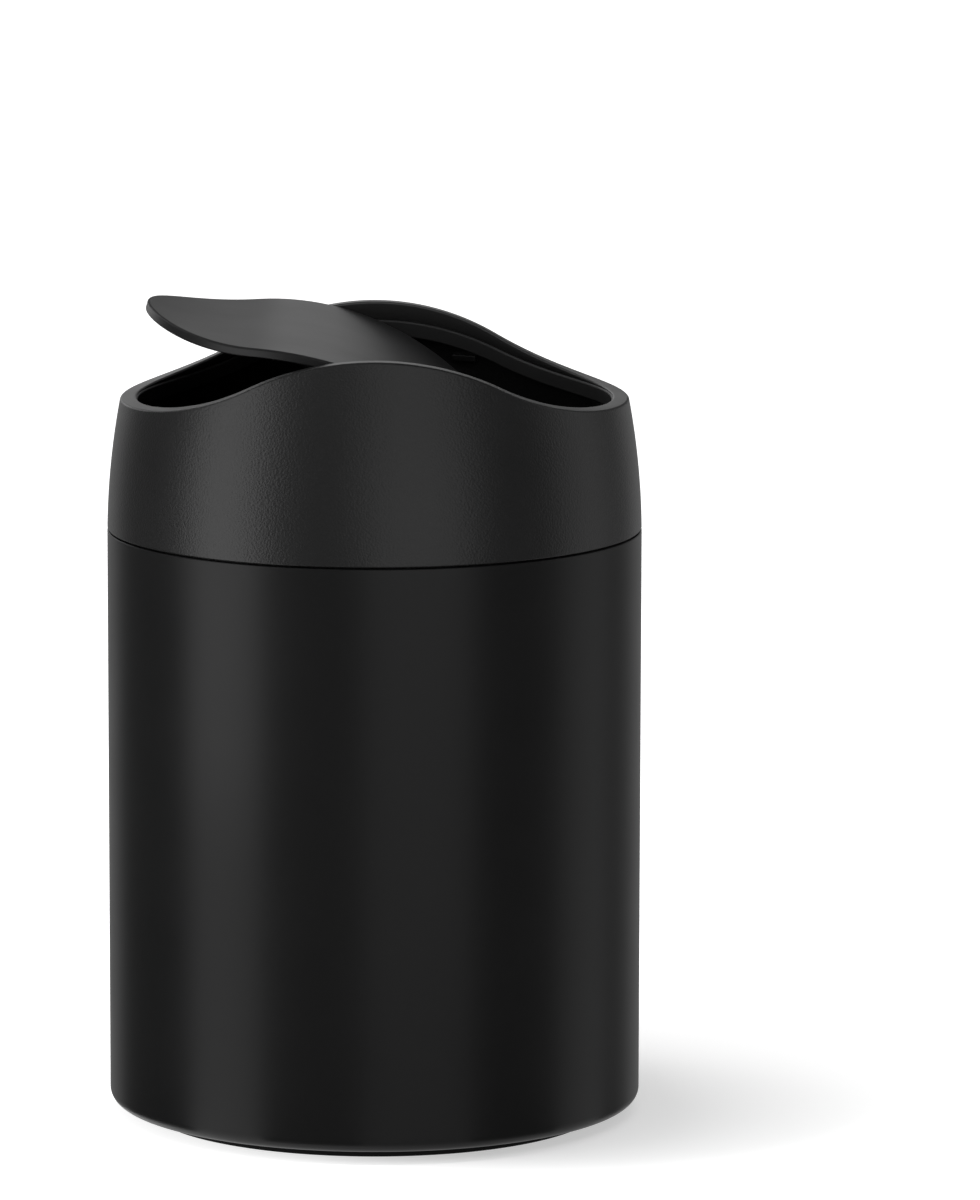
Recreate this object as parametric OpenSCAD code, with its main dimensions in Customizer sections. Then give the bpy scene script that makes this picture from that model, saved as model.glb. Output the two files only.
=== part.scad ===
// Countertop bin with a wave-cut collar and a saddle-shaped swing lid.
// Z is up and the origin is on the table under the middle of the bucket.
// The lid swings about an axis along Y, through the two crests of the collar's rim.
// The lid is drawn tipped: its -X wing is up and its +X wing is pushed down.

/* [Bucket] */
// Outside diameter of the bucket at its rim
body_d = 122; // [112:0.5:140]
// Height of the seam between bucket and collar
seam_h = 135.4; // [105:0.2:180]
// How much narrower the bucket is at its bottom than at its rim
body_taper = 0.24; // [0:0.02:3]
// Wall of the bucket
wall = 2; // [1.6:0.1:2.4]
// Floor of the bucket
floor_t = 3; // [2.6:0.1:5]
// Round along the bottom edge, outside
edge_round = 3; // [1:0.1:4]
// Round in the bottom corner, inside
corner_round = 6; // [2:0.5:12]
// Round on the two small edges that face each other at the seam
seam_round = 0.5; // [0.2:0.1:0.8]

/* [Foot ring] */
// Outside diameter of the non-slip ring
foot_d = 104.8; // [90:0.2:108]
// Width of the non-slip ring
foot_w = 6; // [4:0.1:9]
// How far the ring stands below the bucket
foot_h = 2.5; // [1.5:0.1:4]
// How deep the ring sits in its groove
foot_socket = 1.2; // [0.6:0.1:1.8]
// Width of each shallow groove in the ring's tread
tread_w = 0.8; // [0.4:0.1:1.2]

/* [Collar] */
// Height of the rim's crests above the seam
collar_h = 45.2; // [38:0.2:60]
// Radius of the barrel curve of the collar's side
barrel_r = 170.7; // [140:0.1:260]
// How far below the seam the barrel curve is upright
barrel_drop = 2.3; // [0:0.1:6]
// Wall of the collar
collar_wall = 2.2; // [1.8:0.1:2.4]
// Width of the rim's top face
rim_w = 3.7; // [3.4:0.1:4.6]
// Height from the rim's troughs to its crests
rim_wave = 15.3; // [10:0.1:20]
// Radius of the rim's wave over a crest
rim_crest_r = 60; // [40:0.5:75]
// Height of the shadow gap at the seam
seam_gap = 0.4; // [0.2:0.1:0.8]
// Depth of the shadow gap at the seam
seam_gap_depth = 1; // [0.6:0.1:1.3]
// How far the spigot reaches down into the bucket
spigot_h = 9; // [5:0.5:16]
// Thickness of the spigot
spigot_t = 1.8; // [1.2:0.1:2.6]
// Gap between the spigot and the bucket's wall
spigot_gap = 0.25; // [0.15:0.05:0.4]
// Number of grip ribs round the spigot
grip_ribs = 12; // [6:1:24]
// Number of catches that hold the pivot ring up
catches = 8; // [4:4:16]
// Width of each catch
catch_w = 6; // [3:0.5:10]
// Height of each catch
catch_h = 1.6; // [1:0.1:3]
// How far each catch stands out from the collar's wall
catch_reach = 1.2; // [0.8:0.1:1.6]

/* [Pivot ring] */
// How far the ring's top edge lies below the rim's crests
ring_drop = 4.3; // [3:0.1:7]
// Height of the ring's band
ring_h = 3.8; // [3:0.1:6]
// How far the ring's face stands inside the rim's inner edge
ring_step = 0.35; // [0.2:0.05:0.6]
// Width of the lug round each pivot hole
lug_w = 9; // [8:0.1:14]
// Diameter of the boss round each pivot hole
boss_d = 6; // [5.6:0.1:8]
// How far the lid may tip each way before it meets its stops
stop_angle = 77; // [60:1:80]
// Height of the stops below the pivot axis
stop_drop = 7.5; // [6.5:0.1:9]
// Thickness of each stop, from top to bottom
stop_t = 2.4; // [1.5:0.1:4]
// How far each stop reaches in under the edge of the lid
stop_bite = 1.7; // [1:0.1:2.2]

/* [Lid] */
// How far the lid is tipped as drawn
tilt = 24.2; // [0:0.1:60]
// Thickness of the lid's panel
lid_t = 2.2; // [1.8:0.1:2.4]
// Height from the tips of the lid's wings to its crest
lid_wave = 11; // [8:0.1:13]
// Radius of the lid's wave over its crest
lid_crest_r = 72.5; // [55:0.5:85]
// Gap between the tips of the lid's wings and the pivot ring as they swing past it
lid_gap = 0.4; // [0.35:0.05:0.8]
// Gap between the lid's ends and the pivot ring at the pivots
end_gap = 2.7; // [2.6:0.1:4]
// How far the pivot axis lies below the lid's crest
pivot_drop = 4.2; // [4:0.1:5]
// Diameter of the hinge pins
pin_d = 2.6; // [2:0.1:2.8]
// Length of a hinge pin inside its hub
pin_grip = 8.8; // [5:0.1:14]
// Diameter of the hubs that hold the pins
hub_d = 6.6; // [6:0.1:9]
// Length of each hub
hub_l = 11; // [8:0.1:18]
// Thickness of the keel's web
web_t = 2.6; // [1.6:0.1:4]
// Depth of the keel's web below the panel
web_h = 7; // [5:0.1:10]
// Width of the keel's flange, which is welded to the panel
flange_w = 16; // [10:0.5:24]
// Thickness of the keel's flange
flange_t = 1.4; // [1:0.1:2]
// Number of cross ribs on the keel
ribs = 5; // [1:2:7]
// Thickness of each cross rib
rib_t = 1.8; // [1:0.1:3]
// Radius of the lower edge of each cross rib
rib_arc_r = 150; // [90:5:400]

/* [Fits] */
// Gap between pieces that are fixed to each other
fit_gap = 0.1; // [0.05:0.01:0.15]
// Gap all round a hinge pin in its pivot hole
pin_gap = 0.08; // [0.03:0.01:0.1]
// Gap all round a hinge pin pressed into its hub
press_gap = 0.01; // [0.01:0.01:0.02]
// Gap between moving faces at the pivots
side_gap = 0.4; // [0.3:0.05:0.6]

/* [Hidden] */
$fn = 144;
// How far a cut runs past what it cuts
cut = 1;
// How far a rib or a shelf reaches into the wall that it grows from
root = 0.4;
body_r = body_d / 2;
bottom_r = body_r - body_taper / 2;
bucket_top = seam_h - seam_gap / 2;
shoulder_h = 2.4;
shoulder_r = body_r - seam_gap_depth;
tread_depth = 0.5;
lead_in = 0.6;
underside_recess = 0.5;
grip_rib_w = 2;
grip_rib_gap = 0.05;
cross_rib_lift = 1;

// The collar's side is an arc of barrel_r, upright at barrel_z.
barrel_z = seam_h - barrel_drop;
crest_z = seam_h + collar_h;
trough_z = crest_z - rim_wave;
ring_top_z = crest_z - ring_drop;
ring_in = rim_w + ring_step;
ring_out = collar_wall + fit_gap;
lid_under_z = ring_top_z - lid_t;
pivot_z = ring_top_z - pivot_drop;
keel_z = lid_under_z - fit_gap;

// A wave is a list: the height of its crest, its drop from crest to trough,
// how far the trough lies from the crest, and the radius over the crest.
wing_z = ring_top_z - lid_wave;
lid_reach = barrel_at(wing_z, ring_in + 2 * lid_gap);
rim_line = [crest_z, rim_wave, body_r, rim_crest_r];
lid_line = [ring_top_z, lid_wave, lid_reach, lid_crest_r];
keel_line = lowered(lid_line, lid_t + fit_gap);

// The lid's edge is turned about the pivot axis, so that it clears the ring at every tilt.
// Its section is an arc from the wing tips, tip_r from the axis, to the lid's ends at end_y.
tip_r = norm([barrel_at(wing_z, ring_in), pivot_z - wing_z]) - lid_gap;
end_y = barrel_at(pivot_z, ring_in) - end_gap;
edge_r = (tip_r + end_y * end_y / tip_r) / 2;

boss_face = edge_r + side_gap;
stop_face = edge_r - stop_bite;
hub_end = stop_face - 2 * side_gap;
pin_out = barrel_at(pivot_z, ring_out) - side_gap;
stop_sag = stop_drop * stop_drop / (2 * lid_crest_r);
stop_half_w = (pivot_drop - lid_t - stop_sag + stop_drop * cos(stop_angle)) / sin(stop_angle);
lug_low_z = pivot_z - stop_drop - stop_t;
lug_top_z = ring_top_z - ring_h / 2;
shelf_low_z = wing_z - cut;

// Radius of the collar at a height, on the surface that lies inset inside its outer face
function barrel_at(z, inset) = body_r - barrel_r + sqrt(pow(barrel_r - inset, 2) - pow(z - barrel_z, 2));

// A wave is a crest arc over the pivot axis that runs smoothly into a trough arc on each side.
function trough_r(w) = (w[2] * w[2] + w[1] * w[1]) / (2 * w[1]) - w[3];
function join_x(w) = w[2] * w[3] / (w[3] + trough_r(w));
function join_z(w) = w[0] - w[3] * w[1] / (w[3] + trough_r(w));
function lowered(w, d) = [w[0] - d, w[1], w[2], w[3]];
function wave_z(w, x) = abs(x) < join_x(w)
    ? w[0] - w[3] + sqrt(w[3] * w[3] - x * x)
    : w[0] - w[1] + trough_r(w) - sqrt(pow(trough_r(w), 2) - pow(abs(x) - w[2], 2));

// Everything under a wave, as seen from the front, down to low_z
module under_wave(w, low_z) {
    half_w = body_r + cut;
    difference() {
        translate([-half_w, low_z])
            square([2 * half_w, join_z(w) - low_z]);
        for (side = [-1, 1])
            translate([side * w[2], w[0] - w[1] + trough_r(w)])
                circle(trough_r(w));
    }
    intersection() {
        translate([0, w[0] - w[3]])
            circle(w[3]);
        translate([-half_w, low_z])
            square([2 * half_w, w[0] + cut - low_z]);
    }
}

// The part of a front view between a wave and the same wave lowered by t
module wave_band(w, t) {
    low_z = w[0] - w[1] - t - cut;
    difference() {
        under_wave(w, low_z);
        under_wave(lowered(w, t), low_z - cut);
    }
}

// Runs a front view through the bin, from front to back
module along_y(length = 2 * body_d) {
    rotate([90, 0, 0])
        linear_extrude(length, center = true)
            children();
}

// Half section of the solid inside the collar's side, from low_z to high_z
module barrel_section(inset, low_z, high_z) {
    intersection() {
        translate([body_r - barrel_r, barrel_z])
            circle(barrel_r - inset, $fn = 720);
        translate([0, low_z])
            square([body_d, high_z - low_z]);
    }
}

// Half section of a wall that follows the collar's side
module barrel_wall(outer, inner, low_z, high_z) {
    difference() {
        barrel_section(outer, low_z, high_z);
        barrel_section(inner, low_z - cut, high_z + cut);
    }
}

// Half section of a plain ring
module ring_section(inner_r, outer_r, low_z, high_z) {
    translate([inner_r, low_z])
        square([outer_r - inner_r, high_z - low_z]);
}

// What a round of radius r takes off a corner that points to +X and to +Y or -Y
module corner_waste(r, up = 1) {
    difference() {
        translate([-r, up > 0 ? -r : -cut])
            square([r + cut, r + cut]);
        translate([-r, -up * r])
            circle(r, $fn = 64);
    }
}

// A solid shaft along Y on the pivot axis, from near_y outwards
module shaft(d, near_y, far_y, side) {
    translate([0, side * near_y, pivot_z])
        rotate([side > 0 ? -90 : 90, 0, 0])
            cylinder(d = d, h = far_y - near_y);
}

// Turns the closed lid about the pivot axis to the position that is drawn
module tipped() {
    translate([0, 0, pivot_z])
        rotate([0, tilt, 0])
            translate([0, 0, -pivot_z])
                children();
}

module bucket_cavity() {
    inner_bottom_r = bottom_r - wall;
    inner_top_r = body_r - wall;
    floor_z = foot_h + floor_t;
    difference() {
        polygon([[0, floor_z], [inner_bottom_r, floor_z],
                 [inner_top_r, bucket_top + cut], [0, bucket_top + cut]]);
        translate([inner_bottom_r, floor_z])
            corner_waste(corner_round, -1);
    }
    translate([0, bucket_top - lead_in])
        polygon([[0, 0], [inner_top_r, 0], [inner_top_r + lead_in, lead_in], [0, lead_in]]);
}

module bucket() {
    color([0.13, 0.13, 0.135])
        rotate_extrude()
            difference() {
                polygon([[0, foot_h], [bottom_r, foot_h], [body_r, bucket_top], [0, bucket_top]]);
                bucket_cavity();
                translate([bottom_r, foot_h])
                    corner_waste(edge_round, -1);
                translate([body_r, bucket_top])
                    corner_waste(seam_round);
                ring_section(foot_d / 2 - foot_w - fit_gap, foot_d / 2 + fit_gap,
                             foot_h - cut, foot_h + foot_socket);
                ring_section(0, foot_d / 2 - 2 * foot_w, foot_h - cut, foot_h + underside_recess);
            }
}

module foot_ring() {
    tread_pitch = foot_w / 3;
    color([0.07, 0.07, 0.07])
        rotate_extrude()
            difference() {
                ring_section(foot_d / 2 - foot_w, foot_d / 2, 0, foot_h + foot_socket);
                for (i = [1, 2])
                    ring_section(foot_d / 2 - i * tread_pitch - tread_w / 2,
                                 foot_d / 2 - i * tread_pitch + tread_w / 2, -cut, tread_depth);
            }
}

// Section of the collar's wall, its shoulder at the seam and its spigot
module collar_section() {
    wall_low = seam_h + seam_gap / 2;
    spigot_out = body_r - wall - spigot_gap;
    difference() {
        union() {
            barrel_wall(0, collar_wall, wall_low, crest_z + cut);
            ring_section(spigot_out - spigot_t, shoulder_r, bucket_top, bucket_top + shoulder_h);
            ring_section(spigot_out - spigot_t, spigot_out, bucket_top - spigot_h, bucket_top + shoulder_h);
        }
        translate([body_r, wall_low])
            corner_waste(seam_round, -1);
    }
}

// The thick part of the rim, whose underside is the shelf that the pivot ring seats under
module rim_shelf() {
    intersection() {
        rotate_extrude()
            barrel_wall(collar_wall - root, rim_w, shelf_low_z - cut, crest_z + cut);
        along_y()
            difference() {
                under_wave(rim_line, shelf_low_z);
                under_wave(lowered(lid_line, -fit_gap), shelf_low_z - cut);
            }
    }
}

// One rib on the spigot, which grips the bucket's wall
module grip_rib() {
    rib_in = body_r - wall - spigot_gap - root;
    translate([rib_in, -grip_rib_w / 2, bucket_top - spigot_h + lead_in])
        cube([root + spigot_gap - grip_rib_gap, grip_rib_w, spigot_h - 2 * lead_in]);
}

// One catch under the pivot ring, below the lowest point of the ring's edge over it
module catch_block(angle) {
    ring_r = barrel_at(wing_z - ring_h, ring_out);
    outer_x = ring_r * abs(sin(angle)) + catch_w / 2 * abs(cos(angle));
    catch_top = wave_z(lid_line, outer_x) - ring_h - 2 * fit_gap;
    intersection() {
        rotate_extrude()
            barrel_wall(collar_wall - root, collar_wall + catch_reach, catch_top - catch_h, catch_top);
        rotate([0, 0, angle])
            translate([-catch_w / 2, -body_d, 0])
                cube([catch_w, body_d, crest_z]);
    }
}

module collar_shell() {
    color([0.15, 0.15, 0.155])
        union() {
            difference() {
                rotate_extrude()
                    collar_section();
                along_y()
                    difference() {
                        translate([-body_d, trough_z - cut])
                            square([2 * body_d, rim_wave + 3 * cut]);
                        under_wave(rim_line, trough_z - 2 * cut);
                    }
            }
            rim_shelf();
            for (i = [0 : grip_ribs - 1])
                rotate([0, 0, 360 * (i + 0.5) / grip_ribs])
                    grip_rib();
            for (i = [0 : catches - 1])
                catch_block(360 * (i + 0.5) / catches);
        }
}

module pivot_ring() {
    color([0.11, 0.11, 0.115])
        difference() {
            union() {
                intersection() {
                    rotate_extrude()
                        barrel_wall(ring_out, ring_in, lug_low_z - cut, ring_top_z + cut);
                    along_y()
                        union() {
                            wave_band(lid_line, ring_h);
                            translate([-lug_w / 2, lug_low_z])
                                square([lug_w, lug_top_z - lug_low_z]);
                        }
                }
                intersection() {
                    rotate_extrude()
                        barrel_section(ring_out, lug_low_z - cut, ring_top_z + cut);
                    for (side = [-1, 1])
                        union() {
                            shaft(boss_d, boss_face, body_r, side);
                            translate([-stop_half_w, side > 0 ? stop_face : -body_r, lug_low_z])
                                cube([2 * stop_half_w, body_r - stop_face, stop_t]);
                        }
                }
            }
            for (side = [-1, 1])
                shaft(pin_d + 2 * pin_gap, boss_face - cut, body_r, side);
        }
}

// Half section of the body that is turned about the pivot axis and bounds the lid
module lid_edge_section() {
    intersection() {
        translate([tip_r - edge_r, 0])
            circle(edge_r, $fn = 360);
        translate([0, -body_r])
            square([body_r, body_d]);
    }
}

module lid_panel() {
    color([0.2, 0.2, 0.205])
        tipped()
            intersection() {
                translate([0, 0, pivot_z])
                    rotate([90, 0, 0])
                        rotate_extrude()
                            lid_edge_section();
                along_y()
                    wave_band(lid_line, lid_t);
            }
}

// Front view of the keel's web or hubs, cut to the panel's underside
module keel_view(width, depth) {
    intersection() {
        under_wave(keel_line, keel_z - depth - lid_wave);
        translate([-width / 2, keel_z - depth])
            square([width, depth]);
    }
}

// Front view of the flange, which lies along the panel's underside
module flange_view() {
    intersection() {
        wave_band(keel_line, flange_t);
        translate([-flange_w / 2, keel_z - lid_wave])
            square([flange_w, lid_wave + cut]);
    }
}

// Front view of a cross rib, which thins out towards the wings
module rib_view() {
    intersection() {
        under_wave(keel_line, keel_z - web_h - lid_wave);
        translate([0, keel_z - web_h + cross_rib_lift + rib_arc_r])
            circle(rib_arc_r, $fn = 360);
    }
}

module lid_keel() {
    rib_pitch = 2 * (hub_end - hub_l) / (ribs + 1);
    color([0.12, 0.12, 0.125])
        tipped()
            difference() {
                union() {
                    along_y(2 * hub_end)
                        flange_view();
                    along_y(2 * (hub_end - hub_l / 2))
                        keel_view(web_t, web_h);
                    for (i = [1 : ribs])
                        translate([0, (i - (ribs + 1) / 2) * rib_pitch, 0])
                            along_y(rib_t)
                                rib_view();
                    intersection() {
                        along_y(2 * hub_end)
                            keel_view(hub_d + cut, hub_d + cut);
                        for (side = [-1, 1])
                            shaft(hub_d, hub_end - hub_l, hub_end, side);
                    }
                }
                for (side = [-1, 1])
                    shaft(pin_d + 2 * press_gap, hub_end - pin_grip - side_gap, hub_end + cut, side);
            }
}

module hinge_pin(side) {
    color([0.72, 0.72, 0.74])
        shaft(pin_d, hub_end - pin_grip, pin_out, side);
}

module hinge_pin_front() hinge_pin(-1);

module hinge_pin_rear() hinge_pin(1);

bucket();
foot_ring();
collar_shell();
pivot_ring();
lid_panel();
lid_keel();
hinge_pin_front();
hinge_pin_rear();
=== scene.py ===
"""Looks of the countertop bin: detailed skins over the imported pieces, their materials and the studio."""
import math

import bmesh
import bpy
from mathutils import Matrix, Vector


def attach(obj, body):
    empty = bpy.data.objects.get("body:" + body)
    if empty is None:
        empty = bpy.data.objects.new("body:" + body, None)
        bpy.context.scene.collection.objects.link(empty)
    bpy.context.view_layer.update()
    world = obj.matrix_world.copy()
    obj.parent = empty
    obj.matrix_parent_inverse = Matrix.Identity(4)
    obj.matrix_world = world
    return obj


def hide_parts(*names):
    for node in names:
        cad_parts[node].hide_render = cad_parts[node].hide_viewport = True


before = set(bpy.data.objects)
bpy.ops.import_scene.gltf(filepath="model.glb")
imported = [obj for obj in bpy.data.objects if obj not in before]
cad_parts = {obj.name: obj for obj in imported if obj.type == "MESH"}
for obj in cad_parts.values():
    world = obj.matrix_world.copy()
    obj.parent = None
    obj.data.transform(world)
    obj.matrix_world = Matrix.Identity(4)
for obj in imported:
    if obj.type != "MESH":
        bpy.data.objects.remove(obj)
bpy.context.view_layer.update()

# Metres in a millimetre. The pieces' sizes are in millimetres.
MM = 0.001

# Sizes of the part, the same as in its source.
BODY_R = 61.0
BOTTOM_R = 60.88
SEAM_H = 135.4
WALL = 2.0
FLOOR_T = 3.0
EDGE_ROUND = 3.0
CORNER_ROUND = 6.0
SEAM_GAP = 0.4
SEAM_GAP_DEPTH = 1.0
FOOT_R = 52.4
FOOT_W = 6.0
FOOT_H = 2.5
FOOT_SOCKET = 1.2
TREAD_W = 0.8
TREAD_DEPTH = 0.5
UNDERSIDE_RECESS = 0.5
LEAD_IN = 0.6
COLLAR_H = 45.2
BARREL_R = 170.7
BARREL_DROP = 2.3
COLLAR_WALL = 2.2
RIM_W = 3.7
RIM_WAVE = 15.3
RIM_CREST_R = 60.0
SPIGOT_H = 9.0
SPIGOT_T = 1.8
SPIGOT_GAP = 0.25
SHOULDER_H = 2.4
GRIP_RIBS = 12
GRIP_RIB_W = 2.0
GRIP_RIB_GAP = 0.05
CATCHES = 8
CATCH_W = 6.0
CATCH_H = 1.6
CATCH_REACH = 1.2
RING_DROP = 4.3
RING_H = 3.8
RING_STEP = 0.35
LUG_W = 9.0
BOSS_D = 6.0
STOP_ANGLE = 77.0
STOP_DROP = 7.5
STOP_T = 2.4
STOP_BITE = 1.7
TILT = 24.2
LID_T = 2.2
LID_WAVE = 11.0
LID_CREST_R = 72.5
LID_GAP = 0.4
END_GAP = 2.7
PIVOT_DROP = 4.2
PIN_D = 2.6
PIN_GRIP = 8.8
PIN_GAP = 0.08
FIT_GAP = 0.1
SIDE_GAP = 0.4

# How far a form reaches into the wall that carries it.
ROOT = 0.4
BOSS_ROOT = 0.5
STOP_ROOT = 0.6

# Small rounds of the skins.
SEAM_ROUND = 0.3
RIM_OUTER_ROUND = 0.6
RIM_INNER_ROUND = 0.6
RING_TOP_ROUND = 0.5
RING_LOW_ROUND = 0.35
LID_TOP_ROUND = 0.85
LID_LOW_ROUND = 0.45
STOP_ROUND = 0.35
SPIGOT_TIP_ROUND = 0.6
SOFT_ROUND = 0.4
MOULD_ROUND = 0.3
HIDDEN_ROUND = 0.2
GROOVE_ROUND = 0.15
RIB_ROUND = 0.09

# Room that the skins' sections keep beside their corners, and their least thicknesses.
SIDE_ROOM = 1.0
SHELF_ROOM = 0.8
LEDGE_ROOM = 0.2
LID_ROOM = 1.2
LIP_EDGE = 0.06
LIP_LEAST = 0.02
RIM_LEAST = 0.3

# How finely the skins are built and their curves are solved.
TURNS = 288
BOSS_TURNS = 64
PIN_TURNS = 48
LIP_STEPS = 10
COLLAR_STEPS = 18
LID_STEPS = 26
SIDE_SHARES = (0.15, 0.3, 0.45, 0.6, 0.75, 0.9)
INSIDE_SHARES = (0.2, 0.4, 0.6, 0.8)
LEG_SHARE = 0.48
ON_AXIS = 1e-6
WAVE_PASSES = 12
LID_R_RANGE = (30.0, 60.0)
HALVINGS = 40

BUCKET_TOP = SEAM_H - SEAM_GAP / 2
COLLAR_LOW = SEAM_H + SEAM_GAP / 2
BARREL_Z = SEAM_H - BARREL_DROP
CREST_Z = SEAM_H + COLLAR_H
RING_TOP_Z = CREST_Z - RING_DROP
RING_IN = RIM_W + RING_STEP
RING_OUT = COLLAR_WALL + FIT_GAP
PIVOT_Z = RING_TOP_Z - PIVOT_DROP
WING_Z = RING_TOP_Z - LID_WAVE
STOP_Z = PIVOT_Z - STOP_DROP
STOP_LOW_Z = PIVOT_Z - STOP_DROP - STOP_T


def barrel(z, inset=0.0):
    """Radius of the collar at a height, on the surface that lies inset inside its side."""
    return BODY_R - BARREL_R + math.sqrt((BARREL_R - inset) ** 2 - (z - BARREL_Z) ** 2)


class Wave:
    """A crest arc over the pivot axis that runs smoothly into a trough arc on each side."""

    def __init__(self, crest, drop, reach, crest_r):
        self.crest, self.drop, self.reach, self.crest_r = crest, drop, reach, crest_r
        self.trough_r = (reach ** 2 + drop ** 2) / (2 * drop) - crest_r
        self.join = reach * crest_r / (crest_r + self.trough_r)

    def z(self, x):
        x = abs(x)
        if x < self.join:
            return self.crest - self.crest_r + math.sqrt(self.crest_r ** 2 - x ** 2)
        return self.crest - self.drop + self.trough_r - math.sqrt(self.trough_r ** 2 - (x - self.reach) ** 2)


RIM = Wave(CREST_Z, RIM_WAVE, BODY_R, RIM_CREST_R)
LID = Wave(RING_TOP_Z, LID_WAVE, barrel(WING_Z, RING_IN + 2 * LID_GAP), LID_CREST_R)
TIP_R = math.hypot(barrel(WING_Z, RING_IN), PIVOT_Z - WING_Z) - LID_GAP
END_Y = barrel(PIVOT_Z, RING_IN) - END_GAP
EDGE_R = (TIP_R + END_Y ** 2 / TIP_R) / 2
EDGE_OFF = TIP_R - EDGE_R
BOSS_FACE = EDGE_R + SIDE_GAP
STOP_FACE = EDGE_R - STOP_BITE
HUB_END = STOP_FACE - 2 * SIDE_GAP


def rounded(corners, closed=True):
    """A section's points: each corner is (r, z, radius, steps), and a radius of 0 keeps the corner.

    A round takes no more than its share of the legs beside it."""
    points = []
    n = len(corners)
    for i, (x, y, radius, steps) in enumerate(corners):
        here = Vector((x, y))
        if radius <= 0 or (not closed and i in (0, n - 1)):
            points.append(here)
            continue
        before = Vector(corners[i - 1][:2]) - here
        after = Vector(corners[(i + 1) % n][:2]) - here
        half = before.angle(after) / 2
        reach = min(radius / math.tan(half), LEG_SHARE * before.length, LEG_SHARE * after.length)
        r = reach * math.tan(half)
        middle = here + (before.normalized() + after.normalized()).normalized() * (r / math.sin(half))
        start = here + before.normalized() * reach - middle
        end = here + after.normalized() * reach - middle
        turn = start.angle_signed(end)
        for k in range(steps + 1):
            points.append(middle + Matrix.Rotation(-turn * k / steps, 2) @ start)
    return points


def new_object(name, bm):
    """Turns a bmesh drawn in millimetres into a smooth-shaded object in metres."""
    bmesh.ops.scale(bm, vec=(MM, MM, MM), verts=bm.verts)
    bmesh.ops.recalc_face_normals(bm, faces=bm.faces)
    mesh = bpy.data.meshes.new(name)
    bm.to_mesh(mesh)
    bm.free()
    mesh.polygons.foreach_set("use_smooth", [True] * len(mesh.polygons))
    obj = bpy.data.objects.new(name, mesh)
    bpy.context.scene.collection.objects.link(obj)
    return obj


def weigh_normals(obj):
    """Keeps broad faces flat-shaded next to their small rounds."""
    mod = obj.modifiers.new("weighted", "WEIGHTED_NORMAL")
    mod.keep_sharp = True


def swept(name, section, turns=TURNS, axis="Z", centre=(0, 0, 0)):
    """Sweeps section(angle), a list of (r, height) points, once round an axis.

    A section that starts and ends on the axis is closed there by two poles, and any other is a ring."""
    bm = bmesh.new()
    place = {
        "Z": lambda r, h, a: (r * math.cos(a), r * math.sin(a), h),
        "Y": lambda r, h, a: (r * math.cos(a), h, r * math.sin(a)),
    }[axis]
    columns = []
    poles = None
    for i in range(turns):
        angle = 2 * math.pi * i / turns
        points = section(angle)
        on_axis = abs(points[0][0]) < ON_AXIS
        if on_axis and poles is None:
            poles = [bm.verts.new(place(0, points[k][1], 0)) for k in (0, -1)]
        ring = points[1:-1] if on_axis else points
        columns.append([bm.verts.new(place(p[0], p[1], angle)) for p in ring])
    for i, here in enumerate(columns):
        there = columns[(i + 1) % turns]
        for k in range(len(here) - (1 if poles else 0)):
            j = (k + 1) % len(here)
            bm.faces.new((here[k], here[j], there[j], there[k]))
        if poles:
            bm.faces.new((poles[0], here[0], there[0]))
            bm.faces.new((poles[1], there[-1], here[-1]))
    bmesh.ops.translate(bm, vec=centre, verts=bm.verts)
    return new_object(name, bm)


def block(name, corners_low, corners_high, bevel):
    """A hexahedron from four low and four high corners, in order, with bevelled edges."""
    bm = bmesh.new()
    low = [bm.verts.new(c) for c in corners_low]
    high = [bm.verts.new(c) for c in corners_high]
    bm.faces.new(low)
    bm.faces.new(high)
    for i in range(4):
        bm.faces.new((low[i], low[(i + 1) % 4], high[(i + 1) % 4], high[i]))
    bmesh.ops.bevel(bm, geom=bm.edges[:], offset=bevel, segments=3, affect="EDGES", profile=0.5)
    return new_object(name, bm)


def joined(name, parts):
    """Joins several objects into one."""
    for other in bpy.context.selected_objects:
        other.select_set(False)
    for part in parts:
        part.select_set(True)
    bpy.context.view_layer.objects.active = parts[0]
    bpy.ops.object.join()
    parts[0].name = name
    parts[0].select_set(False)
    return parts[0]


# The bucket and its foot ring.

def bucket_section(angle):
    inner_bottom = BOTTOM_R - WALL
    inner_top = BODY_R - WALL
    floor_z = FOOT_H + FLOOR_T
    recess_r = FOOT_R - 2 * FOOT_W
    recess_z = FOOT_H + UNDERSIDE_RECESS
    socket_z = FOOT_H + FOOT_SOCKET
    groove_in = FOOT_R - FOOT_W - FIT_GAP
    groove_out = FOOT_R + FIT_GAP
    side = [(BOTTOM_R + (BODY_R - BOTTOM_R) * t, FOOT_H + (BUCKET_TOP - FOOT_H) * t, 0, 0)
            for t in SIDE_SHARES]
    inside = [(inner_top - (inner_top - inner_bottom) * t, BUCKET_TOP - (BUCKET_TOP - floor_z) * t, 0, 0)
              for t in INSIDE_SHARES]
    return rounded([
        (0, recess_z, 0, 0),
        (recess_r, recess_z, MOULD_ROUND, 3),
        (recess_r, FOOT_H, MOULD_ROUND, 3),
        (groove_in, FOOT_H, MOULD_ROUND, 3),
        (groove_in, socket_z, HIDDEN_ROUND, 2),
        (groove_out, socket_z, HIDDEN_ROUND, 2),
        (groove_out, FOOT_H, MOULD_ROUND, 3),
        (BOTTOM_R, FOOT_H, EDGE_ROUND, 14),
        *side,
        (BODY_R, BUCKET_TOP, SEAM_ROUND, 5),
        (inner_top + LEAD_IN, BUCKET_TOP, MOULD_ROUND, 3),
        (inner_top, BUCKET_TOP - LEAD_IN, SOFT_ROUND, 3),
        *inside,
        (inner_bottom, floor_z, CORNER_ROUND, 12),
        (0, floor_z, 0, 0),
    ], closed=False)


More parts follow.
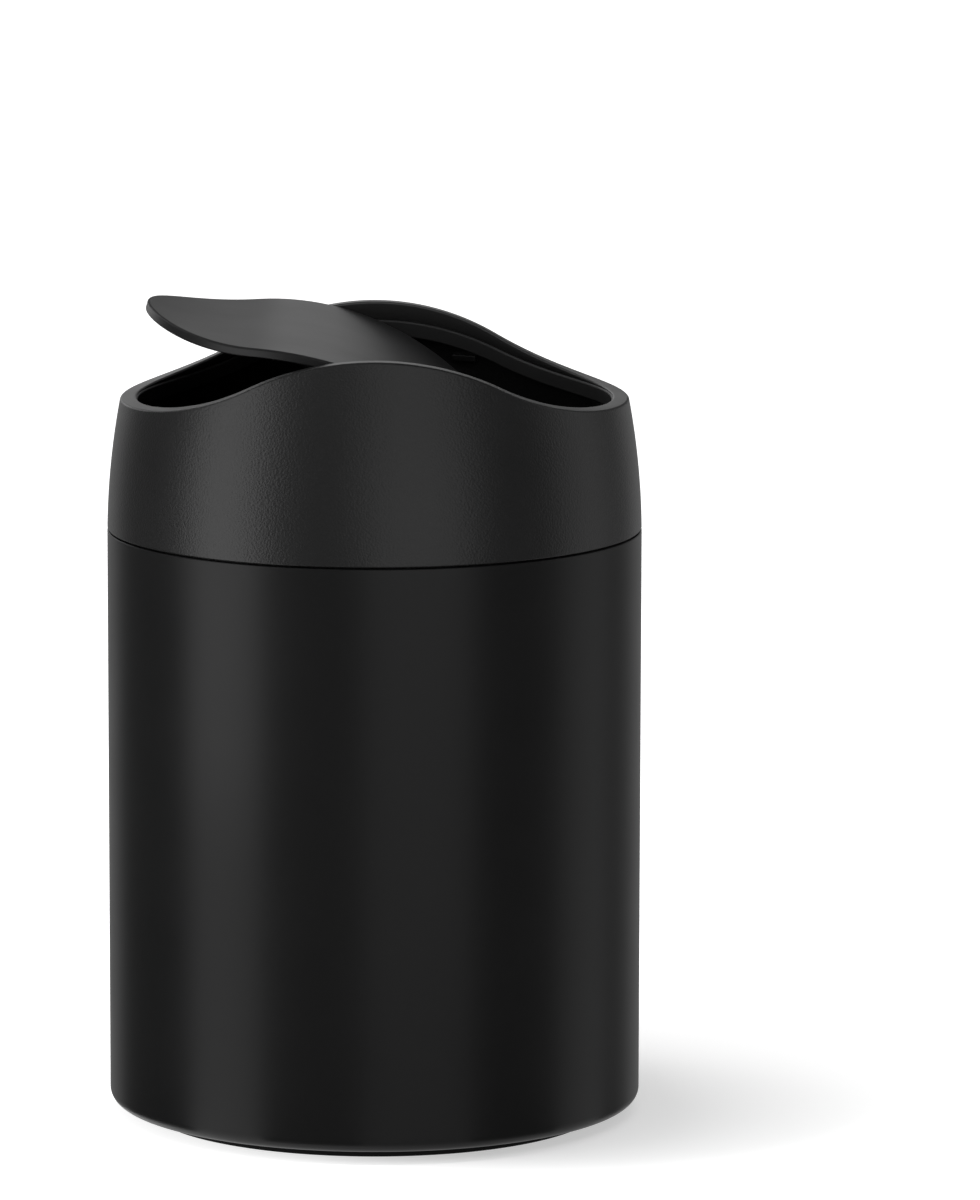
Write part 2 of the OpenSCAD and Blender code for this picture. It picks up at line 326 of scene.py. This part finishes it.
def foot_section(angle):
    pitch = FOOT_W / 3
    top = FOOT_H + FOOT_SOCKET
    corners = [(FOOT_R - FOOT_W, top, HIDDEN_ROUND, 2), (FOOT_R - FOOT_W, 0, SOFT_ROUND, 4)]
    for i in (2, 1):
        middle = FOOT_R - i * pitch
        corners += [
            (middle - TREAD_W / 2, 0, GROOVE_ROUND, 2),
            (middle - TREAD_W / 2, TREAD_DEPTH, GROOVE_ROUND, 2),
            (middle + TREAD_W / 2, TREAD_DEPTH, GROOVE_ROUND, 2),
            (middle + TREAD_W / 2, 0, GROOVE_ROUND, 2),
        ]
    corners += [(FOOT_R, 0, SOFT_ROUND, 4), (FOOT_R, top, HIDDEN_ROUND, 2)]
    return rounded(corners)


# The collar: its wall, the wave-cut rim, the spigot, and the catches and ribs inside.

def rim_height(angle, inset, wave=RIM, lift=0.0):
    """Height at which a wave meets the surface inset inside the collar's side."""
    z = wave.crest - wave.drop / 2
    for _ in range(WAVE_PASSES):
        z = wave.z(barrel(z, inset) * math.cos(angle)) + lift
    return z


def rim_lip(angle, shelf):
    """The rim's inner round as (inset, z), from its flat top down to upright or to just over the shelf."""
    room = max(rim_height(angle, RIM_W) - shelf - LIP_EDGE, LIP_LEAST)
    turned = math.acos(max(0.0, 1 - room / RIM_INNER_ROUND))
    points = []
    for k in range(LIP_STEPS + 1):
        turn = turned * k / LIP_STEPS
        inset = RIM_W - RIM_INNER_ROUND * (1 - math.sin(turn))
        points.append((inset, rim_height(angle, inset) - RIM_INNER_ROUND * (1 - math.cos(turn))))
    return points


def collar_section(angle):
    rim_out = rim_height(angle, 0)
    shelf = rim_height(angle, RIM_W, LID, FIT_GAP)
    lip = rim_lip(angle, shelf)
    lip_inset, lip_low = lip[-1]
    shelf = min(shelf, lip_low - LIP_EDGE)
    shelf_wall = min(rim_height(angle, COLLAR_WALL, LID, FIT_GAP), rim_out - RIM_LEAST)
    spigot_out = BODY_R - WALL - SPIGOT_GAP
    spigot_in = spigot_out - SPIGOT_T
    spigot_low = BUCKET_TOP - SPIGOT_H
    ledge = BUCKET_TOP + SHOULDER_H
    outside = [COLLAR_LOW + SIDE_ROOM + (rim_out - 2 * SIDE_ROOM - COLLAR_LOW) * k / COLLAR_STEPS
               for k in range(COLLAR_STEPS + 1)]
    inside = [shelf_wall - SHELF_ROOM + (ledge + SHELF_ROOM + LEDGE_ROOM - shelf_wall) * k / COLLAR_STEPS
              for k in range(COLLAR_STEPS + 1)]
    return rounded([
        (barrel(COLLAR_LOW), COLLAR_LOW, SEAM_ROUND, 5),
        *[(barrel(z), z, 0, 0) for z in outside],
        (barrel(rim_out), rim_out, RIM_OUTER_ROUND, 6),
        *[(barrel(z, inset), z, 0, 0) for inset, z in lip],
        (barrel(shelf, lip_inset), shelf, 0, 0),
        (barrel(shelf_wall, COLLAR_WALL), shelf_wall, HIDDEN_ROUND, 2),
        *[(barrel(z, COLLAR_WALL), z, 0, 0) for z in inside],
        (barrel(ledge, COLLAR_WALL), ledge, MOULD_ROUND, 3),
        (spigot_in, ledge, SOFT_ROUND, 3),
        (spigot_in, spigot_low, SOFT_ROUND, 3),
        (spigot_out, spigot_low, SPIGOT_TIP_ROUND, 3),
        (spigot_out, BUCKET_TOP, HIDDEN_ROUND, 2),
        (BODY_R - SEAM_GAP_DEPTH, BUCKET_TOP, GROOVE_ROUND, 2),
        (BODY_R - SEAM_GAP_DEPTH, COLLAR_LOW, GROOVE_ROUND, 2),
    ])


def radial_block(name, angle, width, low, high, inner, outer, bevel):
    """A block on the inside of the collar; inner and outer give its radius at a height."""
    along = Vector((math.sin(angle), -math.cos(angle), 0))
    across = Vector((math.cos(angle), math.sin(angle), 0)) * (width / 2)
    rows = []
    for z in (low, high):
        near, far = along * inner(z), along * outer(z)
        rows.append([near - across, far - across, far + across, near + across])
        for corner in rows[-1]:
            corner.z = z
    return block(name, *rows, bevel)


def grip_rib(i):
    """One of the upright ribs on the spigot that hold the collar in the bucket."""
    inner = BODY_R - WALL - SPIGOT_GAP - ROOT
    outer = BODY_R - WALL - GRIP_RIB_GAP
    low = BUCKET_TOP - SPIGOT_H + LEAD_IN
    high = BUCKET_TOP - LEAD_IN
    angle = math.radians(90 + 360 * (i + 0.5) / GRIP_RIBS)
    return radial_block(f"rib_{i}", angle, GRIP_RIB_W, low, high, lambda z: inner, lambda z: outer, RIB_ROUND)


def catch(i):
    """One of the catches that hold the pivot ring from below."""
    angle = math.radians(360 * (i + 0.5) / CATCHES)
    ring_r = barrel(WING_Z - RING_H, RING_OUT)
    outer_x = ring_r * abs(math.sin(angle)) + CATCH_W / 2 * abs(math.cos(angle))
    top = LID.z(outer_x) - RING_H - 2 * FIT_GAP
    return radial_block(f"catch_{i}", angle, CATCH_W, top - CATCH_H, top,
                        lambda z: barrel(z, COLLAR_WALL + CATCH_REACH),
                        lambda z: barrel(z, COLLAR_WALL - ROOT), MOULD_ROUND)


# The pivot ring with its lugs, bosses and stops.

def ring_section(angle):
    top_out = rim_height(angle, RING_OUT, LID)
    top_in = rim_height(angle, RING_IN, LID)
    low_in = rim_height(angle, RING_IN, LID, -RING_H)
    low_out = rim_height(angle, RING_OUT, LID, -RING_H)
    return rounded([
        (barrel(top_out, RING_OUT), top_out, HIDDEN_ROUND, 2),
        (barrel(top_in, RING_IN), top_in, RING_TOP_ROUND, 5),
        (barrel((top_in + low_in) / 2, RING_IN), (top_in + low_in) / 2, 0, 0),
        (barrel(low_in, RING_IN), low_in, RING_LOW_ROUND, 4),
        (barrel(low_out, RING_OUT), low_out, HIDDEN_ROUND, 2),
    ])


def slab_corners(half, inner, outer, z):
    """Corners at one height of a slab across the pivot axis, between two places along it."""
    return [(-half, inner, z), (half, inner, z), (half, outer, z), (-half, outer, z)]


def lug(side):
    """The wall below the ring that carries one boss and one stop."""
    half = LUG_W / 2
    rows = []
    for z in (STOP_LOW_Z, RING_TOP_Z - RING_H / 2):
        inner = math.sqrt(barrel(z, RING_IN) ** 2 - half ** 2)
        outer = math.sqrt(barrel(z, RING_OUT) ** 2 - half ** 2)
        rows.append(slab_corners(half, side * inner, side * outer, z))
    return block(f"lug_{side}", *rows, MOULD_ROUND)


def stop(side):
    """The shelf under one boss on which the keel comes to rest at the end of the swing."""
    sag = STOP_DROP ** 2 / (2 * LID_CREST_R)
    turn = math.radians(STOP_ANGLE)
    half = (PIVOT_DROP - LID_T - sag + STOP_DROP * math.cos(turn)) / math.sin(turn)
    back = barrel(STOP_Z, RING_IN) + STOP_ROOT
    rows = [slab_corners(half, side * STOP_FACE, side * back, z) for z in (STOP_LOW_Z, STOP_Z)]
    return block(f"stop_{side}", *rows, STOP_ROUND)


def boss(side):
    """The round boss with one pin's hole."""
    back = barrel(PIVOT_Z, RING_IN) + BOSS_ROOT
    hole_r = PIN_D / 2 + PIN_GAP

    def section(angle):
        return rounded([
            (hole_r, side * BOSS_FACE, HIDDEN_ROUND, 2),
            (BOSS_D / 2, side * BOSS_FACE, SOFT_ROUND, 4),
            (BOSS_D / 2, side * back, 0, 0),
            (hole_r, side * back, 0, 0),
        ])
    return swept(f"boss_{side}", section, BOSS_TURNS, "Y", (0, 0, PIVOT_Z))


# The lid's panel and the two pins, built closed and then tipped.

def lid_corner(angle, drop):
    """Where the panel's top, or its underside at drop below it, meets the turned edge."""
    low, high = LID_R_RANGE
    for _ in range(HALVINGS):
        r = (low + high) / 2
        x, y = r * math.cos(angle), r * math.sin(angle)
        z = LID.z(x) - drop
        axis_d = math.hypot(x, z - PIVOT_Z)
        if (axis_d - EDGE_OFF) ** 2 + y ** 2 < EDGE_R ** 2:
            low = r
        else:
            high = r
    return low, LID.z(low * math.cos(angle)) - drop


def lid_line(angle, end, drop):
    """Points on the panel's top, or at drop below it, from the middle out to near the corner at end."""
    radii = [k * (end - LID_ROOM) / LID_STEPS for k in range(LID_STEPS + 1)]
    return [(r, LID.z(r * math.cos(angle)) - drop, 0, 0) for r in radii]


def lid_section(angle):
    top = lid_corner(angle, 0)
    under = lid_corner(angle, LID_T)
    over = lid_line(angle, top[0], 0)
    below = reversed(lid_line(angle, under[0], LID_T))
    return rounded([*over, (*top, LID_TOP_ROUND, 8), (*under, LID_LOW_ROUND, 5), *below], closed=False)


def tip(obj):
    """Turns a closed piece of the lid about the pivot axis to where the frame has it."""
    pivot = Vector((0, 0, PIVOT_Z * MM))
    turn = Matrix.Rotation(math.radians(TILT), 4, "Y")
    obj.data.transform(Matrix.Translation(pivot) @ turn @ Matrix.Translation(-pivot))
    return obj


def pin(name, side):
    inner = HUB_END - PIN_GRIP
    outer = barrel(PIVOT_Z, RING_OUT) - SIDE_GAP

    def section(angle):
        return rounded([
            (0, side * inner, 0, 0),
            (PIN_D / 2, side * inner, MOULD_ROUND, 3),
            (PIN_D / 2, side * (inner + outer) / 2, 0, 0),
            (PIN_D / 2, side * outer, MOULD_ROUND, 3),
            (0, side * outer, 0, 0),
        ], closed=False)
    return swept(name, section, PIN_TURNS, "Y", (0, 0, PIVOT_Z))


# The materials, and the marks on the collar that they follow.

SMOOTH_MARK = "smooth_rim"
SMOOTH_INSET = 0.4
# Painted light: the inner lip is marked so that it can be painted lighter in place of light falling on it.
PAINTED_LIGHT_LIP_MARK = "inner_lip_painted_light"
MOTTLE_SCALE = 55
DARK_SHADE = 0.86
LIGHT_SHADE = 1.14
GLOSS_SPREAD = 0.03


def mark(obj, name, inset):
    """Marks what lies above the shelf and further in than inset from the collar's side."""
    marks = obj.data.attributes.new(name, "FLOAT", "POINT")
    for vertex, entry in zip(obj.data.vertices, marks.data):
        x, y, z = (c / MM for c in vertex.co)
        above_shelf = z > LID.z(x) - FIT_GAP
        entry.value = 1.0 if above_shelf and math.hypot(x, y) < barrel(z) - inset else 0.0


def link(tree, a, out, b, into):
    tree.links.new(a.outputs[out], b.inputs[into])


def plastic(name, colour, *, roughness, ior, grain, grain_depth, pebble=0.0, pebble_depth=0.0,
            lip_painted_light=None):
    """Moulded plastic: fine grain, soft mottling of colour and gloss, and a pebble if asked for.

    grain and pebble are feature sizes in millimetres, and the depths are in millimetres too. The pebble
    stops where the mesh is marked as smooth, and the lip colour is a lighter colour painted on what is
    marked as the inner lip, where it stands in for light falling there."""
    material = bpy.data.materials.new(name)
    material.use_nodes = True
    tree = material.node_tree
    shader = tree.nodes["Principled BSDF"]
    shader.inputs["IOR"].default_value = ior
    coords = tree.nodes.new("ShaderNodeTexCoord")

    mottle = tree.nodes.new("ShaderNodeTexNoise")
    mottle.inputs["Scale"].default_value = MOTTLE_SCALE
    mottle.inputs["Detail"].default_value = 5
    link(tree, coords, "Object", mottle, "Vector")
    shades = tree.nodes.new("ShaderNodeValToRGB")
    shades.color_ramp.elements[0].color = [c * DARK_SHADE for c in colour] + [1]
    shades.color_ramp.elements[1].color = [c * LIGHT_SHADE for c in colour] + [1]
    link(tree, mottle, "Fac", shades, "Fac")
    link(tree, shades, "Color", shader, "Base Color")
    # Painted light: a lighter colour on the marked inner lip stands in for light falling there.
    if lip_painted_light:
        lip = tree.nodes.new("ShaderNodeAttribute")
        lip.attribute_name = PAINTED_LIGHT_LIP_MARK
        both = tree.nodes.new("ShaderNodeMixRGB")
        both.inputs["Color2"].default_value = (*lip_painted_light, 1)
        link(tree, lip, "Fac", both, "Fac")
        link(tree, shades, "Color", both, "Color1")
        link(tree, both, "Color", shader, "Base Color")
    gloss = tree.nodes.new("ShaderNodeMapRange")
    gloss.inputs["To Min"].default_value = roughness - GLOSS_SPREAD
    gloss.inputs["To Max"].default_value = roughness + GLOSS_SPREAD
    link(tree, mottle, "Fac", gloss, "Value")
    link(tree, gloss, "Result", shader, "Roughness")

    fine = tree.nodes.new("ShaderNodeTexNoise")
    fine.inputs["Scale"].default_value = 1 / (grain * MM)
    fine.inputs["Detail"].default_value = 2
    link(tree, coords, "Object", fine, "Vector")
    bump = tree.nodes.new("ShaderNodeBump")
    bump.inputs["Strength"].default_value = 1
    bump.inputs["Distance"].default_value = grain_depth * MM
    link(tree, fine, "Fac", bump, "Height")
    if pebble:
        cells = tree.nodes.new("ShaderNodeTexVoronoi")
        cells.feature = "SMOOTH_F1"
        cells.inputs["Scale"].default_value = 1 / (pebble * MM)
        cells.inputs["Smoothness"].default_value = 0.6
        link(tree, coords, "Object", cells, "Vector")
        pebbles = tree.nodes.new("ShaderNodeBump")
        pebbles.invert = True
        pebbles.inputs["Distance"].default_value = pebble_depth * MM
        link(tree, cells, "Distance", pebbles, "Height")
        strength = tree.nodes.new("ShaderNodeMath")
        strength.operation = "SUBTRACT"
        strength.inputs[0].default_value = 1
        smooth = tree.nodes.new("ShaderNodeAttribute")
        smooth.attribute_name = SMOOTH_MARK
        link(tree, smooth, "Fac", strength, 1)
        link(tree, strength, "Value", pebbles, "Strength")
        link(tree, pebbles, "Normal", bump, "Normal")
    link(tree, bump, "Normal", shader, "Normal")
    return material


def steel(name):
    """Drawn steel pin stock with a fine grain in its gloss."""
    material = bpy.data.materials.new(name)
    material.use_nodes = True
    tree = material.node_tree
    shader = tree.nodes["Principled BSDF"]
    shader.inputs["Metallic"].default_value = 1
    shader.inputs["Base Color"].default_value = (0.55, 0.55, 0.57, 1)
    coords = tree.nodes.new("ShaderNodeTexCoord")
    grain = tree.nodes.new("ShaderNodeTexNoise")
    grain.inputs["Scale"].default_value = 2500
    link(tree, coords, "Object", grain, "Vector")
    gloss = tree.nodes.new("ShaderNodeMapRange")
    gloss.inputs["To Min"].default_value = 0.25
    gloss.inputs["To Max"].default_value = 0.45
    link(tree, grain, "Fac", gloss, "Value")
    link(tree, gloss, "Result", shader, "Roughness")
    return material


BUCKET_FINISH = plastic("bucket_satin", (0.008, 0.008, 0.0082), roughness=0.36, ior=1.3,
                        grain=0.22, grain_depth=0.002)
# The collar's inner lip is painted a lighter grey, which stands in for light on it.
COLLAR_FINISH = plastic("collar_pebble", (0.01, 0.01, 0.0102), roughness=0.36, ior=1.42,
                        grain=0.2, grain_depth=0.004, pebble=0.5, pebble_depth=0.05,
                        lip_painted_light=(0.05, 0.05, 0.05))
RING_FINISH = plastic("ring_matt", (0.035, 0.035, 0.0354), roughness=0.5, ior=1.35,
                      grain=0.25, grain_depth=0.003)
LID_FINISH = plastic("lid_satin", (0.012, 0.012, 0.0123), roughness=0.38, ior=1.3,
                     grain=0.25, grain_depth=0.004)
KEEL_FINISH = plastic("keel_matt", (0.015, 0.015, 0.0154), roughness=0.5, ior=1.3,
                      grain=0.3, grain_depth=0.003)
RUBBER = plastic("foot_rubber", (0.006, 0.006, 0.006), roughness=0.75, ior=1.3,
                 grain=0.35, grain_depth=0.012)
PIN_STEEL = steel("pin_steel")


# The pieces: each is dressed, put on its body and stands for its CAD node.

def dress(obj, material):
    obj.data.materials.clear()
    obj.data.materials.append(material)


def finished(obj, body, slot, material, *nodes):
    """Dresses a skin, puts it on its body and lets it stand for its CAD nodes."""
    dress(obj, material)
    weigh_normals(obj)
    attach(obj, body)
    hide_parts(*nodes)


KEEL_WELD = 0.00001
KEEL_ROUND = 0.0002
KEEL_EDGE_ANGLE = 35


def dress_keel():
    """Gives the keel's own solid its finish and small rounds, which are in metres."""
    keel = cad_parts["lid_keel"]
    dress(keel, KEEL_FINISH)
    weld = keel.modifiers.new("weld", "WELD")
    weld.merge_threshold = KEEL_WELD
    edges = keel.modifiers.new("edges", "BEVEL")
    edges.width = KEEL_ROUND
    edges.segments = 2
    edges.limit_method = "ANGLE"
    edges.angle_limit = math.radians(KEEL_EDGE_ANGLE)
    edges.harden_normals = True


finished(swept("bucket_skin", bucket_section), "bucket", "bucket_plastic", BUCKET_FINISH, "bucket")
finished(swept("foot_tread", foot_section), "bucket", "foot_rubber", RUBBER, "foot_ring")

collar = joined("collar_skin", [
    swept("collar_wall", collar_section),
    *[grip_rib(i) for i in range(GRIP_RIBS)],
    *[catch(i) for i in range(CATCHES)],
])
mark(collar, SMOOTH_MARK, SMOOTH_INSET)
# Marks the inner lip for its painted light.
mark(collar, PAINTED_LIGHT_LIP_MARK, RIM_W - LIP_EDGE)
finished(collar, "collar", "collar_plastic", COLLAR_FINISH, "collar_shell")

ring = joined("ring_band", [
    swept("band", ring_section),
    *[make(side) for side in (-1, 1) for make in (lug, stop, boss)],
])
finished(ring, "collar", "ring_plastic", RING_FINISH, "pivot_ring")

finished(tip(swept("lid_saddle", lid_section)), "lid", "lid_plastic", LID_FINISH, "lid_panel")
for pin_name, pin_side in (("hinge_pin_front", -1), ("hinge_pin_rear", 1)):
    finished(tip(pin(pin_name + "_steel", pin_side)), "lid", "pin_steel", PIN_STEEL, pin_name)
dress_keel()


# The studio: camera, world, floor, cards and lamps, in metres and degrees.
# Azimuth 0 is the camera's side and 90 is +X.

LENS = 269.9
SHIFT_X = 0.0962
CAMERA_PLACE = (0, -2.0297, 0.45115)
CAMERA_DIP = 9.31
AMBIENT = 0.27
FLOOR_SIZE = 24
FLOOR_GREY = 0.65
SHADOW_MIDDLE = (0.045, 0.02, 0)
SHADOW_FULL_R = 0.07
SHADOW_END_R = 0.12
SHADOW_GLOW = 0.5
LAMP_AIM = (0, 0, 0.09)
CARD_STEP = 4


def set_camera():
    data = bpy.data.cameras.new("camera")
    data.lens = LENS
    data.sensor_width = 36
    data.shift_x = SHIFT_X
    data.clip_end = 100
    camera = bpy.data.objects.new("camera", data)
    camera.location = CAMERA_PLACE
    camera.rotation_euler = (math.radians(90 - CAMERA_DIP), 0, 0)
    bpy.context.scene.collection.objects.link(camera)
    bpy.context.scene.camera = camera


def seen_directly(tree):
    """1 on rays from the camera and on those that a gloss or glass surface sends on, and 0 on the rest."""
    path = tree.nodes.new("ShaderNodeLightPath")
    first = tree.nodes.new("ShaderNodeMath")
    first.operation = "MAXIMUM"
    link(tree, path, "Is Camera Ray", first, 0)
    link(tree, path, "Is Glossy Ray", first, 1)
    both = tree.nodes.new("ShaderNodeMath")
    both.operation = "MAXIMUM"
    link(tree, first, "Value", both, 0)
    link(tree, path, "Is Transmission Ray", both, 1)
    return both


def set_world():
    """A world that is white where it is seen, and dimmer as a light."""
    world = bpy.data.worlds.new("studio")
    bpy.context.scene.world = world
    world.use_nodes = True
    tree = world.node_tree
    background = tree.nodes["Background"]
    background.inputs["Color"].default_value = (1, 1, 1, 1)
    strength = tree.nodes.new("ShaderNodeMapRange")
    strength.inputs["To Min"].default_value = AMBIENT
    strength.inputs["To Max"].default_value = 1.0
    link(tree, seen_directly(tree), "Value", strength, "Value")
    link(tree, strength, "Result", background, "Strength")


def set_floor():
    """A pale floor that glows to white away from the bin, so its shadow shows in front and on the right."""
    bpy.ops.mesh.primitive_plane_add(size=FLOOR_SIZE)
    floor = bpy.context.object
    floor.name = "floor"
    material = bpy.data.materials.new("pale_floor")
    material.use_nodes = True
    tree = material.node_tree
    shader = tree.nodes["Principled BSDF"]
    shader.inputs["Base Color"].default_value = (FLOOR_GREY, FLOOR_GREY, FLOOR_GREY, 1)
    shader.inputs["Roughness"].default_value = 0.9
    shader.inputs["Specular IOR Level"].default_value = 0
    shader.inputs["Emission Color"].default_value = (1, 1, 1, 1)
    coords = tree.nodes.new("ShaderNodeTexCoord")
    away = tree.nodes.new("ShaderNodeVectorMath")
    away.operation = "DISTANCE"
    away.inputs[1].default_value = SHADOW_MIDDLE
    link(tree, coords, "Object", away, 0)
    fade = tree.nodes.new("ShaderNodeMapRange")
    fade.interpolation_type = "SMOOTHSTEP"
    fade.inputs["From Min"].default_value = SHADOW_FULL_R
    fade.inputs["From Max"].default_value = SHADOW_END_R
    fade.inputs["To Min"].default_value = SHADOW_GLOW
    fade.inputs["To Max"].default_value = 1.0
    link(tree, away, "Value", fade, "Value")
    glow = tree.nodes.new("ShaderNodeMath")
    glow.operation = "MULTIPLY"
    link(tree, fade, "Result", glow, 0)
    link(tree, seen_directly(tree), "Value", glow, 1)
    link(tree, glow, "Value", shader, "Emission Strength")
    floor.data.materials.append(material)


def softbox(name, *, azimuth, elevation, distance, width, height, power, in_gloss=True):
    """An area lamp that faces the bin's middle."""
    lamp = bpy.data.lights.new(name, "AREA")
    lamp.shape = "RECTANGLE"
    lamp.size = width
    lamp.size_y = height
    lamp.energy = power
    obj = bpy.data.objects.new(name, lamp)
    a, e = math.radians(azimuth), math.radians(elevation)
    away = Vector((math.sin(a) * math.cos(e), -math.cos(a) * math.cos(e), math.sin(e)))
    obj.location = Vector(LAMP_AIM) + away * distance
    obj.rotation_mode = "QUATERNION"
    obj.rotation_quaternion = (-away).to_track_quat("-Z", "Y")
    obj.visible_glossy = in_gloss
    bpy.context.scene.collection.objects.link(obj)


def card(name, start, end, brightness, profile):
    """A flag or reflector that shows in the bin's gloss alone, between two azimuths of reflected rays.

    It follows the rays that the camera's view sends off the side, so its edges show there as upright
    stripes. Its profile is a row of (distance from the side, height)."""
    steps = max(2, round((end - start) / CARD_STEP))
    bm = bmesh.new()
    rows = []
    for reach, z in profile:
        row = []
        for k in range(steps + 1):
            ray = math.radians(start + (end - start) * k / steps)
            x = BODY_R * MM * math.sin(ray / 2) + reach * math.sin(ray)
            y = -BODY_R * MM * math.cos(ray / 2) - reach * math.cos(ray)
            row.append(bm.verts.new((x, y, z)))
        rows.append(row)
    for low, high in zip(rows, rows[1:]):
        for k in range(steps):
            bm.faces.new((low[k], low[k + 1], high[k + 1], high[k]))
    mesh = bpy.data.meshes.new(name)
    bm.to_mesh(mesh)
    bm.free()
    obj = bpy.data.objects.new(name, mesh)
    bpy.context.scene.collection.objects.link(obj)
    material = bpy.data.materials.new(name)
    material.use_nodes = True
    tree = material.node_tree
    tree.nodes.remove(tree.nodes["Principled BSDF"])
    glow = tree.nodes.new("ShaderNodeEmission")
    glow.inputs["Strength"].default_value = brightness
    link(tree, glow, "Emission", tree.nodes["Material Output"], "Surface")
    mesh.materials.append(material)
    obj.visible_camera = False
    obj.visible_diffuse = False
    obj.visible_shadow = False
    obj.visible_transmission = False


# Profiles of the cards.

NEAR = (0.002, 0.0005)
EDGE = (0.06, 0.0005)
FOOT_TOP = (0.09, 0.064)
SIDE_TOP = (0.2, 0.3)
CEILING_Z = 0.7
TALL = (NEAR, EDGE, SIDE_TOP)
RAISED = (FOOT_TOP, SIDE_TOP)
FOOT = (NEAR, EDGE, FOOT_TOP)
LOW = (NEAR, EDGE, (0.2, 0.18))
HIGH = ((0.8, 0.2), (0.8, 1.6))
WING = ((0.15, 0.19), (0.2, 0.33))
CEILING = ((0.001, CEILING_Z), (0.8, CEILING_Z))
WIDE_CEILING = ((0.001, CEILING_Z), (1.7, CEILING_Z))
FRONT_CEILING = ((0.001, CEILING_Z), (0.6, CEILING_Z))
NEAR_FLOOR = (NEAR, (0.2, 0.0005))
MIDDLE_FLOOR = ((0.2, 0.0005), (0.5, 0.0005))
FAR_FLOOR = ((0.5, 0.0005), (0.8, 0.0005))


def set_cards():
    """The stripes on the sides, the fall of light on the rim and lid, and the dark above the opening."""
    card("left_edge_flag", -176, -142, 0.42, LOW)
    card("left_back_flag", -142, -86, 0.12, TALL)
    card("left_reflector", -86, -50, 2.3, RAISED)
    card("left_reflector_foot", -86, -50, 1.45, FOOT)
    card("front_left_flag", -50, -5, 0.25, TALL)
    card("front_near_shade", -5, 43, 0.56, NEAR_FLOOR)
    card("front_middle_shade", -5, 43, 0.7, MIDDLE_FLOOR)
    card("front_far_shade", -5, 43, 0.95, FAR_FLOOR)
    card("right_front_flag", 43, 87, 0.16, TALL)
    card("right_reflector", 87, 117, 0.7, TALL)
    card("right_back_flag", 117, 141, 0.2, TALL)
    card("right_edge_flag", 141, 176, 0.4, LOW)
    card("back_screen_left", 189, 250, 1.2, HIGH)
    card("back_screen_right", 176.5, 189, 0.65, HIGH)
    card("right_back_screen", 100, 176.5, 0.12, HIGH)
    card("wing_flag", 218, 250, 0.16, WING)
    card("wing_shade", 212, 218, 0.36, WING)
    card("side_ceiling_left", -110, -30, 0.1, WIDE_CEILING)
    card("front_ceiling", -30, 60, 0.1, FRONT_CEILING)
    card("side_ceiling_right", 60, 110, 0.1, WIDE_CEILING)
    card("back_ceiling", 110, 250, 0.1, CEILING)


def set_lamps():
    softbox("overhead", azimuth=-85, elevation=80, distance=1.6,
            width=0.5, height=0.5, power=15, in_gloss=False)
    softbox("front_fill", azimuth=10, elevation=48, distance=1.6,
            width=0.8, height=0.8, power=3.5, in_gloss=False)
    softbox("left_strip", azimuth=-75, elevation=8, distance=1.1,
            width=0.4, height=1.4, power=1.5)


set_camera()
set_world()
set_floor()
set_cards()
set_lamps()
bpy.context.scene.view_settings.view_transform = "Standard"
